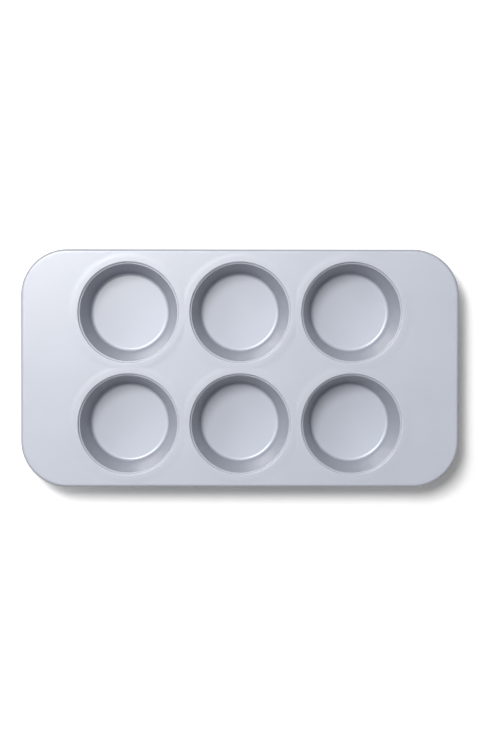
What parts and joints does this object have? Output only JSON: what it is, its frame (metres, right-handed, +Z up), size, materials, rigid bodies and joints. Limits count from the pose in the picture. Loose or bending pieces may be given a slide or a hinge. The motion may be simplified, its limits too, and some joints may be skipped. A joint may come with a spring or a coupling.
{
  "type": "muffin pan",
  "caption": "Flat muffin pan with round tapered cups lock-seamed into a coated sheet-steel deck with rounded corners and a wired rim, for baking muffins and cupcakes.",
  "frame": {"origin": "middle of the pan, on the surface that the cups stand on", "axes": "+X along the pan, +Y from front to back, +Z up out of the cups"},
  "size_m": [0.33, 0.1792, 0.036],
  "materials": {
    "coating": "satin ceramic nonstick coating on sheet steel, light cool grey",
    "wire": "drawn steel wire, bare"
  },
  "bodies": {
    "root": {"deck_plate": "coating", "rim_wire": "wire", "cup_front_left": "coating", "cup_front_middle": "coating", "cup_front_right": "coating", "cup_back_left": "coating", "cup_back_middle": "coating", "cup_back_right": "coating"}
  },
  "joints": []
}
